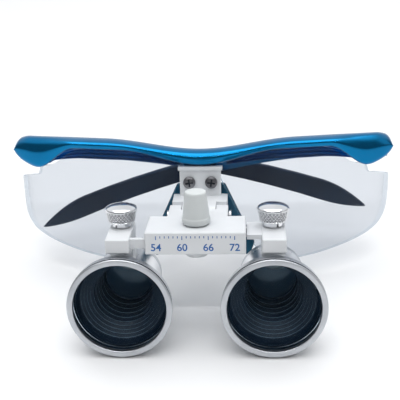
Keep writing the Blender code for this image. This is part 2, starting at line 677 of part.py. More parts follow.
BEZEL_PROFILE = [(BEZEL_R, 0), (BEZEL_R, -0.5), (FRONT_FOOT_R, -BEZEL_LENGTH), (17.4, -BEZEL_LENGTH),
                 (17.4, -2.0), (BEZEL_OPENING_R, -2.0), (BEZEL_OPENING_R, -0.3), (BEZEL_OPENING_R + 0.3, 0)]
SHELL_OUTER = [(17.0, -4.6), (17.0, -5.5), (17.5, -5.5), (17.1, -8.0), (13.2, -13.0), (BODY_R, -18.0),
               (BODY_R, -30.0)]
SHELL_INNER = [(10.6, -30.0), (10.6, -18.0), (11.4, -13.6), (15.4, -8.4), (15.6, -4.6)]


def make_barrel(side):
    """One barrel, turned about its own axis: heights are minus the distance behind the bezel front."""
    x = SIDES[side] * BARREL_X
    holder = swivels[side]

    def spun(name, profile, look, steps=30):
        return turned(f"{name}_{side}", profile, (x, 0, 0), holder, look, axis="-Y", steps=steps)

    spun("bezel", BEZEL_PROFILE, ALUMINIUM, 36)
    lens = [(0, -0.9), (5.8, -1.1), (11.6, -1.5), (17.1, -2.3), (17.1, -4.3), (0, -4.3)]
    spun("objective_lens", lens, GLASS)
    spun("barrel_shell", SHELL_OUTER + SHELL_INNER, SILVER)
    baffle = [(15.2, -6.0), (15.0, -8.6), (11.0, -13.9), (10.2, -18.3), (10.2, -27.4), (8.6, -27.4)]
    for place, bore in enumerate(BAFFLE_BORES):
        ridge = -25.0 + BAFFLE_PITCH * place
        baffle += [(bore, ridge - 0.6), (bore - 0.7, ridge), (bore + 0.1, ridge + 0.6)]
    spun("baffle", baffle + [(14.2, -6.0)], BLACK, 24)
    ring = [(10.3, -27.8), (10.3, -30.3), (RING_R, -30.3), (RING_R, -RING_END),
            (BODY_R - 0.7, -BARREL_LENGTH), (8.4, -BARREL_LENGTH), (8.4, -32.7), (9.4, -32.7), (9.4, -27.8)]
    spun("eyepiece_ring", ring, SILVER, 28)
    eye = [(0, -28.4), (9.1, -28.9), (9.1, -32.0), (5, -32.3), (0, -32.4)]
    spun("eyepiece_lens", eye, GLASS, 28)
    hanger = box(f"barrel_hanger_{side}", (x - HANGER_HALF, 6.4, 18.3),
                 (x + HANGER_HALF, BLOCK_BACK, BLOCK_BOTTOM - GAP), holder, WHITE)
    stem = box(f"{side}_hanger_stem", (x - HANGER_HALF, 12.8, 10.4),
               (x + HANGER_HALF, BLOCK_BACK, 18.6), holder)
    join(hanger, stem)
    clear_of_shell = [(19.0, -5.3)] + [(r + GAP, h) for r, h in SHELL_OUTER[2:]]
    clear_of_shell = [(0, -5.3)] + clear_of_shell + [(0, -30.0)]
    relief = turned(f"{side}_shell_relief", clear_of_shell, (x, 0, 0), holder, axis="-Y", steps=36)
    cut(hanger, relief,
        rod(f"{side}_hanger_bore", (x, SCREW_Y, 14.2), (x, SCREW_Y, 21), SCREW_R + RUN, holder, sides=24))


make_brow()
make_lens()
make_rail()
make_nosepiece()
make_bracket()
make_housing()
make_gear()
for which in SIDES:
    make_temple(which)
    make_slide(which)
    make_barrel(which)
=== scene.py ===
"""The looks of the dental loupes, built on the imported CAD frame.

Shapes are drawn in the worn frame, in millimetres: X across the face, Y backwards along the
barrels and Z up through the thumb screws. WORN places that frame in the object's own frame.
"""

import json
import math

import bmesh
import bpy
import numpy as np
from mathutils import Matrix, Vector


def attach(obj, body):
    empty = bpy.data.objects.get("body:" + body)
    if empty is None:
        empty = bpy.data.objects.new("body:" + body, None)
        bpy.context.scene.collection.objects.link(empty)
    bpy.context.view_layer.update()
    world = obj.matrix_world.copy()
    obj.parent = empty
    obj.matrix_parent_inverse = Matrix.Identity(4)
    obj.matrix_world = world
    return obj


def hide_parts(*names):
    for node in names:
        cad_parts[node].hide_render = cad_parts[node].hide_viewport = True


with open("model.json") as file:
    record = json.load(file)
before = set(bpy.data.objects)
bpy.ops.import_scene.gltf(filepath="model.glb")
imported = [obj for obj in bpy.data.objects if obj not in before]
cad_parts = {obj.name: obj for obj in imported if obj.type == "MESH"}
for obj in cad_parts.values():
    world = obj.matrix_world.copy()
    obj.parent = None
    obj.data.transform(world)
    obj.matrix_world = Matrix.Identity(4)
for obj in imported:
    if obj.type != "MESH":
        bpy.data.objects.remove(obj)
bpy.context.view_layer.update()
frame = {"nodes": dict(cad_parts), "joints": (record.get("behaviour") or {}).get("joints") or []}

MM = 0.001
SIDES = {"left": -1, "right": 1}
JOINTS = {joint["name"]: joint for joint in frame["joints"]}

# The worn frame stands along a barrel's swivel axis, and the flip hinge is at FLIP in it.
FLIP = Vector((0, 31.0, 23.5))
UP = Vector(JOINTS["left_barrel_swivel"]["axis"]).normalized()
BACK = UP.cross(Vector((1, 0, 0)))
ORIGIN = Vector(JOINTS["flip_hinge"]["pos_m"]) - (BACK * FLIP.y + UP * FLIP.z) * MM
LEAN = Matrix(((1, 0, 0), BACK, UP)).transposed().to_4x4()
WORN = Matrix.Translation(ORIGIN) @ LEAN @ Matrix.Scale(MM, 4)

# The upright axes of the temple hinges, the thumb screws and the knob, in the worn frame.
HINGE_X = 70.5
HINGE_Y = 62.4
THUMB_Y = 16.7
KNOB_Y = 11.5


def worn_box(node):
    """Lowest and highest corner of a CAD node in the worn frame."""
    back = WORN.inverted()
    places = np.array([back @ vert.co for vert in frame["nodes"][node].data.vertices])
    return Vector(places.min(0)), Vector(places.max(0))


# ---------------------------------------------------------------- materials

def new_material(name, colour, roughness, metallic=0.0, slot=None):
    """A Principled material, its node tree and its shader. Its slot is its name, unless one is given."""
    made = bpy.data.materials.new(name)
    made.use_nodes = True
    made["slot"] = slot or name
    shader = made.node_tree.nodes["Principled BSDF"]
    shader.inputs["Base Color"].default_value = (*colour, 1)
    shader.inputs["Roughness"].default_value = roughness
    shader.inputs["Metallic"].default_value = metallic
    return made, made.node_tree, shader


def add(tree, kind, **values):
    """A node with some of its inputs or properties set."""
    node = tree.nodes.new(kind)
    for key, value in values.items():
        if key in node.inputs:
            node.inputs[key].default_value = value
        else:
            setattr(node, key.lower(), value)
    return node


def noise(tree, scale, detail=3.0, stretch=(1, 1, 1)):
    """A noise field over the piece's own coordinates, in features per metre."""
    where = add(tree, "ShaderNodeTexCoord")
    mapping = add(tree, "ShaderNodeMapping")
    mapping.inputs["Scale"].default_value = stretch
    field = add(tree, "ShaderNodeTexNoise", Scale=scale, Detail=detail)
    tree.links.new(where.outputs["Object"], mapping.inputs["Vector"])
    tree.links.new(mapping.outputs["Vector"], field.inputs["Vector"])
    return field.outputs["Fac"]


def ramp(tree, factor, low, high, start=0.3, end=0.7):
    """Colour from low to high as a factor goes from start to end."""
    made = add(tree, "ShaderNodeValToRGB")
    for stop, place, colour in zip(made.color_ramp.elements, (start, end), (low, high)):
        stop.position = place
        stop.color = (*colour, 1)
    tree.links.new(factor, made.inputs["Fac"])
    return made.outputs["Color"]


def spread(tree, factor, low, high):
    """A number from low to high as a factor goes from 0.3 to 0.7."""
    made = add(tree, "ShaderNodeMapRange")
    for key, value in zip(("From Min", "From Max", "To Min", "To Max"), (0.3, 0.7, low, high)):
        made.inputs[key].default_value = value
    tree.links.new(factor, made.inputs["Value"])
    return made.outputs["Result"]


def bump(tree, shader, height, depth):
    """Fine relief, depth in metres."""
    made = add(tree, "ShaderNodeBump", Strength=1.0, Distance=depth)
    tree.links.new(height, made.inputs["Height"])
    tree.links.new(made.outputs["Normal"], shader.inputs["Normal"])


def moulded(name, dark, light, roughness, grain=2600, relief=0.00002, coat=0.0, metallic=0.0,
            specular=0.5, slot=None):
    """A moulded or painted surface: slight colour drift, uneven gloss and fine grain."""
    made, tree, shader = new_material(name, light, roughness[0], metallic, slot)
    tree.links.new(ramp(tree, noise(tree, 60), dark, light), shader.inputs["Base Color"])
    tree.links.new(spread(tree, noise(tree, 380), *roughness), shader.inputs["Roughness"])
    bump(tree, shader, noise(tree, grain, 2), relief)
    shader.inputs["Coat Weight"].default_value = coat
    shader.inputs["Coat Roughness"].default_value = 0.06
    shader.inputs["Specular IOR Level"].default_value = specular
    return made


def metal(name, dark, light, roughness, stretch=(1, 1, 1), slot=None):
    """A metal with turning or brushing marks, which run where stretch is small."""
    made, tree, shader = new_material(name, light, roughness[0], 1.0, slot)
    marks = noise(tree, 1500, 4, stretch)
    tree.links.new(ramp(tree, noise(tree, 90), dark, light), shader.inputs["Base Color"])
    tree.links.new(spread(tree, marks, *roughness), shader.inputs["Roughness"])
    bump(tree, shader, marks, 0.0000015)
    return made


def clear(name, tint, rim, roughness, body, slot=None):
    """A clear solid that doesn't bend what is behind it: see-through face on, and at a glance more of
    its own shiny rim colour. body is the share of that colour face on."""
    most = 0.9
    made, tree, shader = new_material(name, rim, roughness[0], slot=slot)
    tree.links.new(spread(tree, noise(tree, 220), *roughness), shader.inputs["Roughness"])
    shader.inputs["Specular IOR Level"].default_value = 0.7
    window = add(tree, "ShaderNodeBsdfTransparent", Color=(*tint, 1))
    glance = add(tree, "ShaderNodeLayerWeight")
    steep = add(tree, "ShaderNodeMath", operation="POWER")
    steep.inputs[1].default_value = 4.0
    share = add(tree, "ShaderNodeMath", operation="MULTIPLY_ADD")
    share.inputs[1].default_value = most - body
    share.inputs[2].default_value = body
    mix = add(tree, "ShaderNodeMixShader")
    tree.links.new(glance.outputs["Facing"], steep.inputs[0])
    tree.links.new(steep.outputs["Value"], share.inputs[0])
    tree.links.new(share.outputs["Value"], mix.inputs["Fac"])
    tree.links.new(window.outputs["BSDF"], mix.inputs[1])
    tree.links.new(shader.outputs["BSDF"], mix.inputs[2])
    tree.links.new(mix.outputs["Shader"], tree.nodes["Material Output"].inputs["Surface"])
    return made


def coated_glass(name, deep, painted_light, roughness, slot):
    """Dark coated glass with painted light: a pale patch along its upper edge, round a point above its
    middle.
    """
    made, tree, shader = new_material(name, deep, 0.08, slot=slot)
    where = add(tree, "ShaderNodeTexCoord")
    reach = add(tree, "ShaderNodeVectorMath", operation="DISTANCE")
    reach.inputs[1].default_value = (0.58, 0.5, 1.15)
    colour = ramp(tree, reach.outputs["Value"], painted_light, deep, 0.36, 0.52)
    tree.links.new(where.outputs["Generated"], reach.inputs[0])
    tree.links.new(colour, shader.inputs["Base Color"])
    tree.links.new(spread(tree, noise(tree, 220), *roughness), shader.inputs["Roughness"])
    return made


SMOOTH = {"grain": 900, "relief": 0.000001}
TURNED = (1, 0.06, 1)

WHITE = moulded("white_plastic", (0.70, 0.72, 0.74), (0.76, 0.78, 0.80), (0.28, 0.42))
GREY = moulded("grey_plastic", (0.58, 0.61, 0.61), (0.63, 0.66, 0.66), (0.4, 0.52))
CHROME = metal("chrome", (0.72, 0.73, 0.75), (0.85, 0.86, 0.88), (0.06, 0.16))
STEEL = metal("steel", (0.42, 0.43, 0.45), (0.60, 0.61, 0.63), (0.2, 0.38))
SATIN = metal("satin_aluminium", (0.50, 0.52, 0.55), (0.60, 0.62, 0.65), (0.3, 0.42), TURNED)
SILVER = metal("silver_barrel", (0.78, 0.79, 0.81), (0.82, 0.83, 0.85), (0.27, 0.31), TURNED)
# Black: the baffle's own colour and the front glass's blackened edge; also painted shade in the bezel's
# groove, the screws' recesses and the shell's hidden front end.
BLACK_AND_SHADE = moulded("black_baffle", (0.001, 0.009, 0.021), (0.003, 0.015, 0.033), (0.42, 0.48), **SMOOTH)
BLUE = moulded("blue_frame", (0.002, 0.15, 0.34), (0.003, 0.18, 0.40), (0.2, 0.24),
               coat=0.12, metallic=1.0, **SMOOTH)
# Painted shade: the inner rail's navy is darker than the brow's blue, for the shade under the brow and
# behind the lens.
RAIL = moulded("navy_rail", (0.001, 0.075, 0.26), (0.002, 0.095, 0.31), (0.2, 0.26),
               coat=0.08, metallic=1.0, **SMOOTH)
SLEEVE = moulded("navy_sleeve", (0.001, 0.014, 0.040), (0.002, 0.024, 0.062), (0.4, 0.55),
                 grain=3200, specular=0.25)
# Painted shade: the nosepiece's blue is darker than the brow's, for the shade the nose bridge sits in.
TEAL = moulded("teal_nosepiece", (0.004, 0.08, 0.14), (0.008, 0.11, 0.19), (0.32, 0.5))
PAD = moulded("soft_pad", (0.01, 0.025, 0.05), (0.02, 0.045, 0.08), (0.5, 0.7), grain=3400, relief=0.00005)
PRINT = moulded("scale_print", (0.004, 0.10, 0.36), (0.008, 0.13, 0.42), (0.3, 0.42), slot="white_plastic")
LENS = clear("clear_lens", (0.835, 0.85, 0.87), (0.78, 0.82, 0.86), (0.02, 0.08), 0.02)
# Painted highlights: rim colours for the shield's cut edges, cyan along the nose notch.
LENS_RIM = clear("clear_lens_rim", (0.80, 0.84, 0.88), (0.60, 0.65, 0.70), (0.1, 0.2), 0.12,
                 slot="clear_lens")
NOTCH_RIM = clear("clear_lens_notch", (0.25, 0.62, 0.80), (0.15, 0.50, 0.70), (0.08, 0.18), 0.35,
                  slot="clear_lens")
OPTIC = clear("optical_glass", (0.86, 0.92, 0.96), (0.10, 0.16, 0.24), (0.01, 0.04), 0.02)
DARK_STEEL = metal("dark_steel", (0.10, 0.10, 0.11), (0.22, 0.22, 0.23), (0.3, 0.45), slot="steel")
# Painted shade: a dark chrome for the deep faces of the knurl.
KNURL_SHADE = metal("chrome_knurl_shade", (0.10, 0.10, 0.11), (0.20, 0.20, 0.22), (0.35, 0.5), slot="chrome")
# Painted highlight: a pale colour for the black ribs' crests, where they catch the light.
RIB_HIGHLIGHT = moulded("baffle_rib_highlight", (0.50, 0.60, 0.68), (0.58, 0.68, 0.76), (0.24, 0.3),
                slot="black_baffle", **SMOOTH)
# Its pale colour is painted light on the eyepiece glass's upper edge.
OCULAR = coated_glass("ocular_glass", (0.045, 0.095, 0.145), (0.85, 0.84, 0.78), (0.06, 0.12),
                      "optical_glass")


# ---------------------------------------------------------------- shapes

def place(name, verts, faces, look, body, nodes=(), smooth=35):
    """A piece from worn-frame points, which rides on a body and stands for some CAD nodes."""
    mesh = bpy.data.meshes.new(name)
    mesh.from_pydata([WORN @ Vector(vert) for vert in verts], [], faces)
    cage = bmesh.new()
    cage.from_mesh(mesh)
    bmesh.ops.remove_doubles(cage, verts=cage.verts, dist=1e-7)
    bmesh.ops.recalc_face_normals(cage, faces=cage.faces)
    cage.to_mesh(mesh)
    cage.free()
    return finish(name, mesh, look, body, nodes, smooth)


def finish(name, mesh, look, body, nodes=(), smooth=35):
    """A finished mesh in the row frame, shaded, painted, riding and standing for its nodes."""
    made = bpy.data.objects.new(name, mesh)
    bpy.context.scene.collection.objects.link(made)
    mesh.materials.clear()
    mesh.materials.append(look)
    mesh.shade_smooth()
    mesh.set_sharp_from_angle(angle=math.radians(smooth))
    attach(made, body)
    if nodes:
        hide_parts(*nodes)
    return made


def add_bevel(made, width, segments=3, angle=30):
    """Rounded edges, width in millimetres."""
    bevel = made.modifiers.new("Bevel", "BEVEL")
    bevel.width = width * MM
    bevel.segments = segments
    bevel.limit_method = "ANGLE"
    bevel.angle_limit = math.radians(angle)
    bevel.harden_normals = True
    return made


def refined(node, look, body, width, segments=3, angle=30):
    """A copy of a CAD node with its facets merged and its edges rounded."""
    mesh = frame["nodes"][node].data.copy()
    cage = bmesh.new()
    cage.from_mesh(mesh)
    bmesh.ops.remove_doubles(cage, verts=cage.verts, dist=2e-6)
    bmesh.ops.dissolve_limit(cage, angle_limit=math.radians(1.0), verts=cage.verts, edges=cage.edges)
    cage.to_mesh(mesh)
    cage.free()
    made = finish(node + "_shell", mesh, look, body, [node])
    return add_bevel(made, width, segments, angle)


def slab(name, low, high, look, body, width, nodes=()):
    """A moulded block with rounded edges."""
    corners = [(x, y, z) for x in (low[0], high[0]) for y in (low[1], high[1]) for z in (low[2], high[2])]
    faces = [(0, 1, 3, 2), (4, 6, 7, 5), (0, 4, 5, 1), (2, 3, 7, 6), (0, 2, 6, 4), (1, 5, 7, 3)]
    return add_bevel(place(name, corners, faces, look, body, nodes), width)


def rounded(points, radius=0.2, steps=4, closed=False):
    """A polyline with each corner turned into a short curve; a point's third value is its own radius."""
    most = 0.45
    flat = [np.array(point[:2], float) for point in points]
    radii = [point[2] if len(point) > 2 else radius for point in points]
    out = []
    for i, (corner, reach) in enumerate(zip(flat, radii)):
        if not closed and i in (0, len(flat) - 1) or reach == 0:
            out.append(tuple(corner))
            continue
        before, after = flat[i - 1] - corner, flat[(i + 1) % len(flat)] - corner
        start = before * min(reach / np.linalg.norm(before), most)
        end = after * min(reach / np.linalg.norm(after), most)
        for step in range(steps + 1):
            t = step / steps
            out.append(tuple(corner + start * (1 - t) ** 2 + end * t ** 2))
    return out


def lathe(name, profile, centre, axis, look, body, nodes=(), segments=128, relief=None, smooth=35):
    """A (radius, distance) profile spun about "Y" or "Z" through a centre. relief(angle, distance)
    says how far each point is cut in."""
    verts, faces = [], []
    for radius, along in profile:
        for step in range(segments):
            angle = 2 * math.pi * step / segments
            depth = relief(angle, along) if relief else 0.0
            u, v = (radius - depth) * math.cos(angle), (radius - depth) * math.sin(angle)
            spot = (u, along, v) if axis == "Y" else (u, v, along)
            verts.append(Vector(centre) + Vector(spot))
    for ring in range(len(profile) - 1):
        for step in range(segments):
            a, b = ring * segments + step, ring * segments + (step + 1) % segments
            faces.append((a, b, b + segments, a + segments))
    if profile[0] != profile[-1]:
        for ring in (0, len(profile) - 1):
            if profile[ring][0] > 1e-6:
                faces.append([ring * segments + step for step in range(segments)])
    return place(name, verts, faces, look, body, nodes, smooth)


def paint_where(made, look, test):
    """Gives a second material to the faces whose middle, in the worn frame, passes a test."""
    made.data.materials.append(look)
    index = len(made.data.materials) - 1
    back = WORN.inverted()
    for face in made.data.polygons:
        if test(back @ face.center):
            face.material_index = index


def loft(name, rings, look, body, nodes=(), smooth=40):
    """A skin through closed rings of equal length, capped at both ends."""
    count = len(rings[0])
    verts = [point for ring in rings for point in ring]
    faces = [list(range(count)), list(range(len(verts) - count, len(verts)))]
    for ring in range(len(rings) - 1):
        for step in range(count):
            a, b = ring * count + step, ring * count + (step + 1) % count
            faces.append((a, b, b + count, a + count))
    return place(name, verts, faces, look, body, nodes, smooth)


def blend(points, x):
    """Height of the monotone cubic through (x, height) points, the same on both sides of x = 0."""
    x = min(abs(x), points[-1][0])
    slopes = [(h1 - h0) / (x1 - x0) for (x0, h0), (x1, h1) in zip(points, points[1:])]
    lean = [0.0 if points[0][0] == 0 else slopes[0]]
    for before, after in zip(slopes, slopes[1:]):
        lean.append(2 * before * after / (before + after) if before * after > 0 else 0.0)
    lean.append(slopes[-1])
    at = max(i for i in range(len(slopes)) if points[i][0] <= x or i == 0)
    (x0, h0), (x1, h1) = points[at], points[at + 1]
    run, t = x1 - x0, (x - x0) / (x1 - x0)
    return (h0 * (1 + 2 * t) * (1 - t) ** 2 + lean[at] * run * t * (1 - t) ** 2
            + h1 * t * t * (3 - 2 * t) + lean[at + 1] * run * t * t * (t - 1))


def wrap(x, half, front, depth):
    """Y of a sheet that wraps back towards its ends, in plan."""
    reach = min(abs(x) / half, 1.0)
    return front + depth * (1 - (1 - reach ** 2.4) ** (1 / 2.4))


# ---------------------------------------------------------------- glasses

# Each line holds (x, height) points of an outline's right half, seen from the front. At LENS_STEP the
# lens's top edge comes out from behind the brow and steps down.
BROW_END = 74.5
BROW_DEPTH = 6.8
BROW_TOP_LINE = ((0, 44.8), (36, 48.9), (50, 49.1), (68, 48.6), (71.6, 47.7), (73.5, 46.2),
                 (BROW_END, 44.0))
BROW_LOW_LINE = ((0, 39.4), (30, 45.3), (49, 45.6), (64.6, 37.1), (70.6, 39.0), (73.5, 41.2),
                 (BROW_END, 43.0))
LENS_HALF = 76.6
LENS_THICK = 1.8
LENS_STEP = (64.6, 66.2)
LENS_TOP_LINE = ((0, 38.9), (30, 44.6), (46, 44.9), (62, 36.6), (LENS_STEP[0], 36.4), (LENS_STEP[1], 32.3),
                 (70, 31.4), (73, 30.3), (75, 29.2), (76.0, 26.8))
LENS_LOW_LINE = ((21.3, 4.5), (31.0, -1.0), (41, 0.2), (58, 4.2), (69.4, 8.6), (73.8, 13.0), (75.6, 19.0),
                 (76.0, 25.5))
NOTCH_TOP = (6.5, 36.0)
NOTCH_FOOT = LENS_LOW_LINE[0]
LUG_LOWS = (38.9, 44.0)
LUG_TALL = 1.6
LUG_RADIUS = 2.4
RAIL_START, RAIL_END = 10.0, 61.5
RAIL_GAP = 0.9
RAIL_TOP_LINE = ((0, 38.6), (30, 44.2), (44, 44.4), (RAIL_END, 39.8))
RAIL_LOW_LINE = ((0, 37.6), (30, 40.0), (46, 40.0), (58.5, 38.4), (RAIL_END, 36.6))


def brow_plan(x):
    """Y of the brow's front, in plan."""
    return wrap(x, 80.0, 42.4, 22.0)


def lens_plan(x):
    """Y of the lens's front, in plan."""
    return wrap(x, LENS_HALF, 45.4, 30.0)


def nose_notch(x):
    """Lower edge of the lens: an inverted V over the nose, then the two rounded lobes."""
    if abs(x) > NOTCH_FOOT[0]:
        return blend(LENS_LOW_LINE, x)
    share = max(0.0, abs(x) - NOTCH_TOP[0]) / (NOTCH_FOOT[0] - NOTCH_TOP[0])
    return NOTCH_TOP[1] + (NOTCH_FOOT[1] - NOTCH_TOP[1]) * share


def make_brow():
    """The top frame: a crowned top face, a crest, a front face and a thin rolled lower edge."""
    rings = []
    for angle in np.linspace(-90, 90, 145):
        x = BROW_END * math.sin(math.radians(angle))
        front, low, high = brow_plan(x), blend(BROW_LOW_LINE, x), blend(BROW_TOP_LINE, x)
        tall = high - low
        section = [(BROW_DEPTH, high - 0.1, 0.6), (3.6, high, 2.0), (1.1, high - 0.16 * tall, 0.8),
                   (0.0, high - 0.4 * tall, 1.2), (0.5, low + 0.12 * tall, 0.8), (1.5, low, 0.5),
                   (BROW_DEPTH, low + 0.05 * tall, 0.5)]
        rings.append([(x, front + y, z) for y, z in rounded(section, closed=True)])
    loft("brow_bar", rings, BLUE, "eyewear", ["brow_frame"])


def make_brow_fittings():
    """The tab that the bracket screws into, and the two lugs at each temple hinge."""
    slab("brow_tab", (-6.8, 47.5, 27.5), (6.8, 50.0, 42.0), BLUE, "eyewear", 0.5)
    slab("brow_tab_boss", (-5.9, 45.4, 27.8), (5.9, 48.5, 35.4), BLUE, "eyewear", 0.4)
    hole, neck_half = 0.85, 2.3
    neck_front, neck_back = 56.5, HINGE_Y - 0.9
    for side, way in SIDES.items():
        pin_x = way * HINGE_X
        for low in LUG_LOWS:
            high = low + LUG_TALL
            outline = [(hole, low), (LUG_RADIUS, low), (LUG_RADIUS, high), (hole, high), (hole, low)]
            lathe(f"brow_lug_{side}_{low:.0f}", outline, (pin_x, HINGE_Y, 0), "Z", BLUE, "eyewear",
                  segments=48)
            slab(f"brow_lug_neck_{side}_{low:.0f}", (pin_x - neck_half, neck_front, low),
                 (pin_x + neck_half, neck_back, high), BLUE, "eyewear", 0.3)


def lens_shape():
    """Points and faces of the shield, and the places of its cut edges among the faces."""
    corners = [NOTCH_TOP[0], NOTCH_FOOT[0], *LENS_STEP]
    xs = [LENS_HALF * math.sin(math.radians(angle)) for angle in np.arange(-82, 82.1, 1.0)]
    xs = sorted(set(xs + [way * x for way in SIDES.values() for x in corners]))
    rows, nudge = 8, 0.05
    verts, faces, rims = [], [], []
    for depth in (0.0, LENS_THICK):
        for x in xs:
            low, high = nose_notch(x), blend(LENS_TOP_LINE, x)
            slope = (lens_plan(x + nudge) - lens_plan(x - nudge)) / (2 * nudge)
            inward = depth / math.hypot(1, slope)
            for row in range(rows + 1):
                verts.append((x - slope * inward, lens_plan(x) + inward, low + (high - low) * row / rows))
    layer, tall = len(xs) * (rows + 1), rows + 1
    for i in range(len(xs) - 1):
        for row in range(rows):
            a = i * tall + row
            faces.append((a, a + 1, a + 1 + tall, a + tall))
            faces.append((a + layer, a + tall + layer, a + 1 + tall + layer, a + 1 + layer))
        for a in (i * tall, i * tall + rows):
            rims.append(len(faces))
            faces.append((a, a + tall, a + tall + layer, a + layer))
    for i in (0, len(xs) - 1):
        for row in range(rows):
            a = i * tall + row
            rims.append(len(faces))
            faces.append((a, a + 1, a + 1 + layer, a + layer))
    return verts, faces, rims


def make_lens():
    """The clear shield, with its cut edges in rim colours: painted highlights for the light those edges
    catch.
    """
    verts, faces, rims = lens_shape()
    made = place("shield", verts, faces, LENS, "eyewear", ["shield_lens"])
    made.data.materials.append(LENS_RIM)
    made.data.materials.append(NOTCH_RIM)
    back = WORN.inverted()
    for index in rims:
        spot = back @ made.data.polygons[index].center
        in_notch = abs(spot.x) < NOTCH_FOOT[0] and spot.z < NOTCH_TOP[1]
        made.data.polygons[index].material_index = 2 if in_notch else 1


def make_rails():
    """The inner rail behind the lens's top edge, painted darker than the brow as shade, with two long
    grooves in its face.
    """
    for side, way in SIDES.items():
        rings = []
        for x in np.linspace(RAIL_START, RAIL_END, 64):
            low, high = blend(RAIL_LOW_LINE, x), blend(RAIL_TOP_LINE, x)
            front = lens_plan(x) + LENS_THICK + RAIL_GAP
            section = [(1.6, high, 0.3), (0.5, high, 0.3)]
            for share in (0.36, 0.72):
                middle = high + (low - high) * share
                section += [(0.0, middle + 0.5, 0.3), (0.5, middle, 0.2)]
            section += [(0.1, low + 0.3, 0.3), (0.4, low, 0.2), (1.6, low, 0.3)]
            rings.append([(way * x, front + y, z) for y, z in rounded(section, steps=3, closed=True)])
        loft(f"inner_rail_{side}", rings, RAIL, "eyewear", [f"lens_rail_{side}"])


def make_eyewear_trim():
    """The nosepiece, its pads and the screws of the temple hinges."""
    # The nosepiece's darker blue is painted shade.
    refined("nosepiece", TEAL, "eyewear", 0.35)
    for side in SIDES:
        refined(f"nose_pad_{side}", PAD, "eyewear", 0.5, 4)
        refined(f"temple_screw_{side}", STEEL, "eyewear", 0.1, 2)


def make_temples():
    """Each folded temple: a glossy front half and a soft sleeve over its rear half."""
    for side in SIDES:
        refined(f"temple_{side}", BLUE, f"{side}_temple", 0.6, 4)
        refined(f"temple_sleeve_{side}", SLEEVE, f"{side}_temple", 0.8, 5, 25)


# ---------------------------------------------------------------- bracket, slide, scale and thumb screws

PLATE_SCREW_X = 4.2
PLATE_SCREW_Z = 33.0
PLATE_SCREW_FRONT = 41.0


def make_bracket():
    """The white bracket with its two cross-head screws, and the flip hinge's pin."""
    arm_low, arm_high = (-1.45, -1, -0.34), (1.45, 1.1, 0.34)
    refined("mount_plate", WHITE, "eyewear", 0.25)
    for side, way in SIDES.items():
        x = way * PLATE_SCREW_X
        head = rounded([(0, 41.05), (1.5, 41.1, 0.6), (2.35, 41.6, 0.5), (2.35, 42.5, 0.1), (1.2, 42.5, 0),
                        (1.2, 49.7), (0, 49.7)], steps=5)
        made = lathe(f"bracket_screw_{side}", head, (x, 0, PLATE_SCREW_Z), "Y", DARK_STEEL, "eyewear",
                     [f"plate_screw_{side}"], 64)
        # The cut leaves the tools' black on the recess walls: painted shade in the cross.
        for turn in (0, 90):
            arm = slab(f"bracket_screw_recess_{side}_{turn}", arm_low, arm_high, BLACK_AND_SHADE, "eyewear", 0.12)
            spin = Matrix.Rotation(math.radians(turn + 8 * way), 4, "Y")
            shift = Matrix.Translation((x, PLATE_SCREW_FRONT, PLATE_SCREW_Z))
            arm.data.transform(WORN @ shift @ spin @ WORN.inverted())
            cut_away(made, arm)
    refined("flip_pin", STEEL, "flip_unit", 0.15)
    refined("flip_pin_clip", STEEL, "flip_unit", 0.12)


def cut_away(made, tool):
    """Cuts a tool's shape out of a piece, then drops the tool."""
    cut = made.modifiers.new("Cut", "BOOLEAN")
    cut.object = tool
    cut.solver = "EXACT"
    cut.material_mode = "TRANSFER"
    bpy.context.view_layer.update()
    graph = bpy.context.evaluated_depsgraph_get()
    shaped = bpy.data.meshes.new_from_object(made.evaluated_get(graph))
    made.modifiers.remove(cut)
    made.data = shaped
    bpy.data.objects.remove(tool, do_unlink=True)


def make_housing():
    """The slide housing, the blocks and racks that run in it, and the grey knob on the pinion."""
    refined("slide_housing", WHITE, "flip_unit", 0.35)
    refined("pinion_cap", WHITE, "flip_unit", 0.2)
    refined("pinion", STEEL, "pinion_unit", 0.05, 2)
    knob = rounded([(0, 39.6), (3.55, 39.6, 0.5), (3.85, 39.1, 0.3), (4.7, 30.5, 0.3), (5.0, 30.1, 0.4),
                    (5.0, 28.5, 0.6), (4.4, 27.95, 0.3), (2.1, 27.95, 0), (2.1, 33.3), (0, 33.3)], steps=5)
    lathe("slide_knob", knob, (0, KNOB_Y, 0), "Z", GREY, "pinion_unit", ["pinion_knob"], 96)
    for side in SIDES:
        refined(f"slide_block_{side}", WHITE, f"{side}_slide", 0.3)
        refined(f"barrel_hanger_{side}", WHITE, f"{side}_barrel", 0.25)
        refined(f"spring_washer_{side}", CHROME, f"{side}_slide", 0.12)


# Ticks and numbers, from the worn frame's middle. The numbers are pupil distances in millimetres.
SCALE_START = -13.5
SCALE_TOP = 26.3
TICK_GAP = 1.5
TICK_HALF = 0.14
NUMBERS = (54, 60, 66, 72)
NUMBER_LOW = 20.9
NUMBER_SIZE = 3.7
NUMBER_RELIEF = 0.04


def make_ticks(front):
    """A tick for each step from the first number to the last, with a taller one over each number."""
    verts, faces = [], []
    for step in range(NUMBERS[-1] - NUMBERS[0] + 1):
        low = SCALE_TOP - (1.4 if NUMBERS[0] + step in NUMBERS else 0.8)
        x = SCALE_START + TICK_GAP * step
        left, right = x - TICK_HALF, x + TICK_HALF
        start = len(verts)
        for y in (front, front + 0.08):
            verts += [(left, y, low), (right, y, low), (right, y, SCALE_TOP), (left, y, SCALE_TOP)]
        for face in ((0, 1, 2, 3), (4, 7, 6, 5), (0, 4, 5, 1), (1, 5, 6, 2), (2, 6, 7, 3), (3, 7, 4, 0)):
            faces.append([start + corner for corner in face])
    place("scale_ticks", verts, faces, PRINT, "flip_unit")


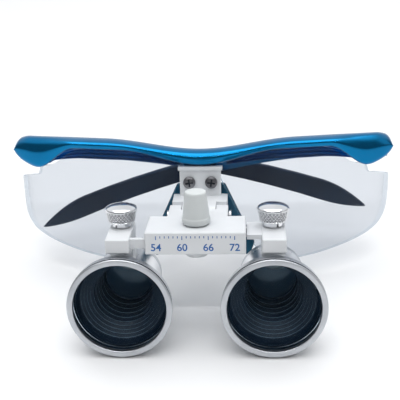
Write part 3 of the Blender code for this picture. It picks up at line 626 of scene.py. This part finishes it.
def make_scale():
    """A generic printed scale on the housing's front, in place of the mark in the photo."""
    front = worn_box("slide_housing")[0].y - 0.02
    make_ticks(front)
    for number in NUMBERS:
        text = bpy.data.curves.new(f"scale_number_{number}", "FONT")
        text.body = str(number)
        text.size = NUMBER_SIZE
        text.align_x = "CENTER"
        text.extrude = NUMBER_RELIEF
        text.offset = 0.05
        drawn = bpy.data.objects.new(text.name, text)
        bpy.context.scene.collection.objects.link(drawn)
        bpy.context.view_layer.update()
        graph = bpy.context.evaluated_depsgraph_get()
        mesh = bpy.data.meshes.new_from_object(drawn.evaluated_get(graph))
        bpy.data.objects.remove(drawn, do_unlink=True)
        x = SCALE_START + TICK_GAP * (number - NUMBERS[0])
        upright = Matrix.Rotation(math.pi / 2, 4, "X")
        mesh.transform(WORN @ Matrix.Translation((x, front + NUMBER_RELIEF, NUMBER_LOW)) @ upright)
        finish(f"scale_number_{number}", mesh, PRINT, "flip_unit")


# The knurl's lower and upper end below the head's top, and its diamonds round the head.
KNURL_BELOW_TOP = (6.1, 1.9)
KNURL_COUNT = 26
KNURL_PITCH = 1.5
KNURL_DEPTH = 0.4
KNURL_FADE = 0.3


def knurl(angle, along, low, high):
    """Depth of a diamond knurl between two heights, fading out at both."""
    if not low < along < high:
        return 0.0
    fade = min(1.0, (along - low) / KNURL_FADE, (high - along) / KNURL_FADE)
    turn = angle * KNURL_COUNT / 2
    rise = math.pi * along / KNURL_PITCH
    return KNURL_DEPTH * fade * (1 - min(abs(math.sin(turn + rise)), abs(math.sin(turn - rise))) ** 0.7)


def make_thumb_screw(side):
    """A chromed thumb screw: a domed top, a knurled taper, a narrow collar and a plain shank."""
    low, high = worn_box(f"thumb_screw_{side}")
    top = high.z
    axis = Vector(((low.x + high.x) / 2, THUMB_Y))
    knurl_low, knurl_high = (top - below for below in KNURL_BELOW_TOP)
    dome = [(0, top), (1.8, top - 0.08), (3.4, top - 0.35), (4.7, top - 0.8), (5.5, top - 1.3)]
    rows, widest, narrowing, tall = 28, 5.7, 0.75, 4.05
    taper = [(widest - narrowing * row / rows, top - 1.95 - tall * row / rows) for row in range(rows + 1)]
    foot = [(4.8, top - 6.25), (4.3, top - 6.5), (1.5, top - 6.5), (1.5, low.z + 0.5), (1.1, low.z),
            (0, low.z)]
    outline = rounded(dome, 0.8, 3) + [(5.73, top - 1.75)] + taper + rounded(foot, 0.15, 3)

    def relief(angle, along):
        """The knurl's depth on this head."""
        return knurl(angle, along, knurl_low, knurl_high)

    def in_groove(spot):
        """Whether a face lies deep in the knurl."""
        arm = spot.xy - axis
        return relief(math.atan2(arm.y, arm.x), spot.z) > 0.6 * KNURL_DEPTH

    made = lathe(f"thumb_knob_{side}", outline, (*axis, 0), "Z", CHROME, f"{side}_thumb_screw",
                 [f"thumb_screw_{side}"], 240, relief, smooth=50)
    # Painted shade: the knurl's deep faces are dark.
    paint_where(made, KNURL_SHADE, in_groove)


# ---------------------------------------------------------------- barrels

# (distance, radius) points of the black inside's wall, from behind the front glass to the eyepiece.
BORE_WALL = ((7.2, 15.2), (13.5, 10.9), (26.5, 9.3))
RIB_COUNT = 9
RIB_DEPTH = 0.4
# The ribs come at even steps of distance less SIGHT_RUN times radius, which look even to the camera.
SIGHT_RUN = 3


def bore_at(along):
    """Radius of the black inside's wall at a distance from the bezel's front."""
    return np.interp(along, *zip(*BORE_WALL))


def rib_places():
    """Distances of the ribs from the bezel's front."""
    seen = [along - SIGHT_RUN * radius for along, radius in BORE_WALL]
    rows = np.linspace(seen[0], seen[-1], RIB_COUNT + 1)[:-1]
    return np.interp(rows, seen, [along for along, radius in BORE_WALL])


def grip(angle, along):
    """Four shallow grooves round the barrel's straight rear half."""
    start, end, half_pitch, deep = 19.0, 28.6, 1.2, 0.25
    if not start < along < end:
        return 0.0
    return deep * max(0.0, math.sin((along - start) * math.pi / half_pitch))


def coin_edge(angle, along):
    """Fine straight ribs round the eyepiece ring."""
    start, end, ribs, deep = 30.5, 32.8, 72, 0.12
    return deep * (1 - abs(math.sin(angle * ribs / 2))) if start < along < end else 0.0


def make_barrel(side):
    """One barrel: its bezel, front glass, silver shell, ribbed inside, eyepiece ring and eyepiece glass."""
    low, high = worn_box(f"bezel_{side}")
    centre = Vector(((low.x + high.x) / 2, 0, 0))

    def turn(name, outline, look, node, relief=None, smooth=35):
        """A turned piece on this barrel's axis, for one of its nodes."""
        return lathe(f"{name}_{side}", outline, centre, "Y", look, f"{side}_barrel", [f"{node}_{side}"],
                     144, relief, smooth)

    def off_axis(spot):
        """Distance of a spot from this barrel's axis."""
        return (spot - centre).xz.length

    make_bezel(turn, off_axis)
    make_front_glass(turn, off_axis)
    make_shell(turn)
    make_ribbed_bore(turn, off_axis)
    make_eyepiece(turn)


def make_bezel(turn, off_axis):
    """The front ring, with painted shade: black in the groove round its side."""
    outline = rounded([(18.62, 1.75, 0.1), (18.25, 5.2, 0.2), (17.4, 5.2, 0), (17.4, 2.0, 0), (16.5, 2.0, 0),
                       (16.5, 0.2, 0.1), (16.7, 0.0, 0.1), (18.3, 0.0, 0.12), (18.64, 0.25, 0.12),
                       (18.64, 0.7, 0.05), (18.0, 0.8, 0.05), (18.0, 1.65, 0.05)], closed=True)
    made = turn("bezel_ring", outline + outline[:1], SATIN, "bezel")
    groove_front, groove_back, bore = 0.72, 1.72, 17.5
    # Painted shade: the groove's faces are black.
    paint_where(made, BLACK_AND_SHADE, lambda spot: groove_front < spot.y < groove_back and off_axis(spot) > bore)


def make_front_glass(turn, off_axis):
    """The front lens, with a blackened edge."""
    edge, front, bulge = 17.1, 0.95, 1.3
    face = [(radius, front + bulge * (radius / edge) ** 2) for radius in np.linspace(0, edge, 12)]
    made = turn("front_lens", face + [(edge, 4.2), (0, 4.3)], OPTIC, "objective_lens")
    paint_where(made, BLACK_AND_SHADE, lambda spot: off_axis(spot) > 0.99 * edge)


def make_shell(turn):
    """The silver barrel, with painted shade: black where it meets the front glass."""
    outline = rounded([(17.0, 4.6), (17.0, 5.5), (17.5, 5.5, 0.3), (17.1, 8.0, 1.2), (13.2, 13.0, 1.5),
                       (12.0, 18.0, 1.0), (12.0, 30.0, 0.3), (10.6, 30.0, 0), (10.6, 18.0), (11.4, 13.6),
                       (16.2, 6.6), (16.2, 4.6)], closed=True)
    made = turn("shell", outline + outline[:1], SILVER, "barrel_shell", grip)
    bezel_back = 5.2
    # Painted shade: the front end, seen through the gap behind the front glass, is black.
    paint_where(made, BLACK_AND_SHADE, lambda spot: spot.y < bezel_back)


def make_ribbed_bore(turn, off_axis):
    """The black inside, with a painted highlight: a paler crest on each rib."""
    crest_start, crest_end, foot = 0.2, 0.45, 0.6
    places = rib_places()
    outline = [(16.1, 4.7), (15.6, 6.2)]
    for along in places:
        wall = bore_at(along)
        crest = wall - RIB_DEPTH
        outline += [(wall, along), (crest, along + crest_start), (crest, along + crest_end),
                    (wall - 0.05, along + foot)]
    outline += [(9.2, 27.7), (10.3, 27.7), (10.4, 18.2), (11.2, 13.6), (16.1, 6.7)]
    made = turn("ribbed_bore", outline + outline[:1], BLACK_AND_SHADE, "baffle", smooth=25)

    def on_crest(spot):
        """Whether a face is on a rib's crest, not on the outside of the piece."""
        inside = off_axis(spot) < bore_at(spot.y)
        return inside and any(crest_start < spot.y - along < crest_end for along in places)

    # Painted highlight on the rib crests.
    paint_where(made, RIB_HIGHLIGHT, on_crest)


def make_eyepiece(turn):
    """The eyepiece ring with its fine ribs, and the coated glass in it."""
    outline = rounded([(10.3, 27.8), (10.3, 30.3), (11.9, 30.3, 0.2), (11.9, 32.9, 0.2), (11.3, 33.5, 0.3),
                       (8.4, 33.5, 0.3), (8.4, 32.7, 0.1), (9.4, 32.7, 0), (9.4, 27.8)], closed=True)
    turn("eye_ring", outline + outline[:1], SATIN, "eyepiece_ring", coin_edge)
    edge, front, bulge = 9.1, 28.4, 0.5
    face = [(radius, front + bulge * (radius / edge) ** 2) for radius in np.linspace(0, edge, 8)]
    turn("eye_lens", face + [(edge, 32.0), (5.0, 32.3), (0, 32.4)], OCULAR, "eyepiece_lens")


# ---------------------------------------------------------------- floor, light and camera

def make_stage():
    """A plain pale floor, 10 m across."""
    floor = bpy.data.meshes.new("floor")
    reach = 5.0
    corners = [(-reach, -reach, 0), (reach, -reach, 0), (reach, reach, 0), (-reach, reach, 0)]
    floor.from_pydata(corners, [], [(0, 1, 2, 3)])
    look, tree, shader = new_material("pale_floor", (0.9, 0.9, 0.91), 0.6)
    drift = ramp(tree, noise(tree, 4), (0.89, 0.895, 0.9), (0.91, 0.915, 0.92))
    tree.links.new(drift, shader.inputs["Base Color"])
    floor.materials.append(look)
    ground = bpy.data.objects.new("floor", floor)
    bpy.context.scene.collection.objects.link(ground)


def add_light(name, place_m, aim_m, size_m, watts):
    """A white rectangular lamp at a place, turned towards an aim."""
    light = bpy.data.lights.new(name, "AREA")
    light.shape = "RECTANGLE"
    light.size, light.size_y = size_m
    light.energy = watts
    lamp = bpy.data.objects.new(name, light)
    bpy.context.scene.collection.objects.link(lamp)
    lamp.location = place_m
    lamp.rotation_euler = (Vector(aim_m) - Vector(place_m)).to_track_quat("-Z", "Y").to_euler()


def make_lights():
    """A large overhead lamp, a thin strip for the long glints, a side fill and a pale studio round them."""
    add_light("overhead", (0.0, 0.15, 0.8), (0, 0, 0), (0.9, 0.7), 4.2)
    add_light("strip", (0.0, -0.3, 0.6), (0, 0, 0.04), (0.9, 0.006), 1.2)
    add_light("side", (0.8, -0.1, 0.4), (0, 0, 0.03), (0.4, 0.5), 0.4)
    make_studio((0, 0.64, 0.77), 0.24, 0.9)


def make_studio(bright_way, least, most):
    """A pale surround that brightens towards one direction, up and behind the object."""
    world = bpy.data.worlds.new("studio")
    bpy.context.scene.world = world
    world.use_nodes = True
    tree = world.node_tree
    where = add(tree, "ShaderNodeTexCoord")
    facing = add(tree, "ShaderNodeVectorMath", operation="DOT_PRODUCT")
    facing.inputs[1].default_value = bright_way
    tree.links.new(where.outputs["Generated"], facing.inputs[0])
    background = tree.nodes["Background"]
    background.inputs["Color"].default_value = (0.96, 0.975, 1.0, 1)
    tree.links.new(spread(tree, facing.outputs["Value"], least, most), background.inputs["Strength"])


CAMERA_FRONT = 261.8
CAMERA_HEIGHT = 128.3
CAMERA_PIVOT = 38.0
CAMERA_TURN = (3.3, -18.6, -1.4)
FOCAL = 75.0


def make_camera():
    """The camera stands CAMERA_FRONT before the bezels and CAMERA_HEIGHT above their axis in the worn
    frame, swung round an upright through the glasses. CAMERA_TURN is its yaw, pitch and roll."""
    lens = bpy.data.cameras.new("camera")
    lens.lens = FOCAL
    lens.sensor_width = 36.0
    camera = bpy.data.objects.new("camera", lens)
    bpy.context.scene.collection.objects.link(camera)
    yaw, pitch, roll = (math.radians(angle) for angle in CAMERA_TURN)
    look = Matrix.Rotation(math.pi / 2 + pitch, 4, "X") @ Matrix.Rotation(roll, 4, "Z")
    orbit = Matrix.Rotation(yaw, 4, "Z")
    pivot = Matrix.Translation((0, CAMERA_PIVOT, 0))
    spot = Matrix.Translation((0, -CAMERA_FRONT, CAMERA_HEIGHT))
    stand = WORN @ pivot @ orbit @ pivot.inverted() @ spot @ look
    place_m, turn, _ = stand.decompose()
    camera.matrix_world = Matrix.Translation(place_m) @ turn.to_matrix().to_4x4()
    bpy.context.scene.camera = camera


make_brow()
make_brow_fittings()
make_lens()
make_rails()
make_eyewear_trim()
make_temples()
make_bracket()
make_housing()
make_scale()
for which in SIDES:
    make_thumb_screw(which)
    make_barrel(which)
make_stage()
make_lights()
make_camera()
bpy.context.scene.view_settings.view_transform = "Standard"
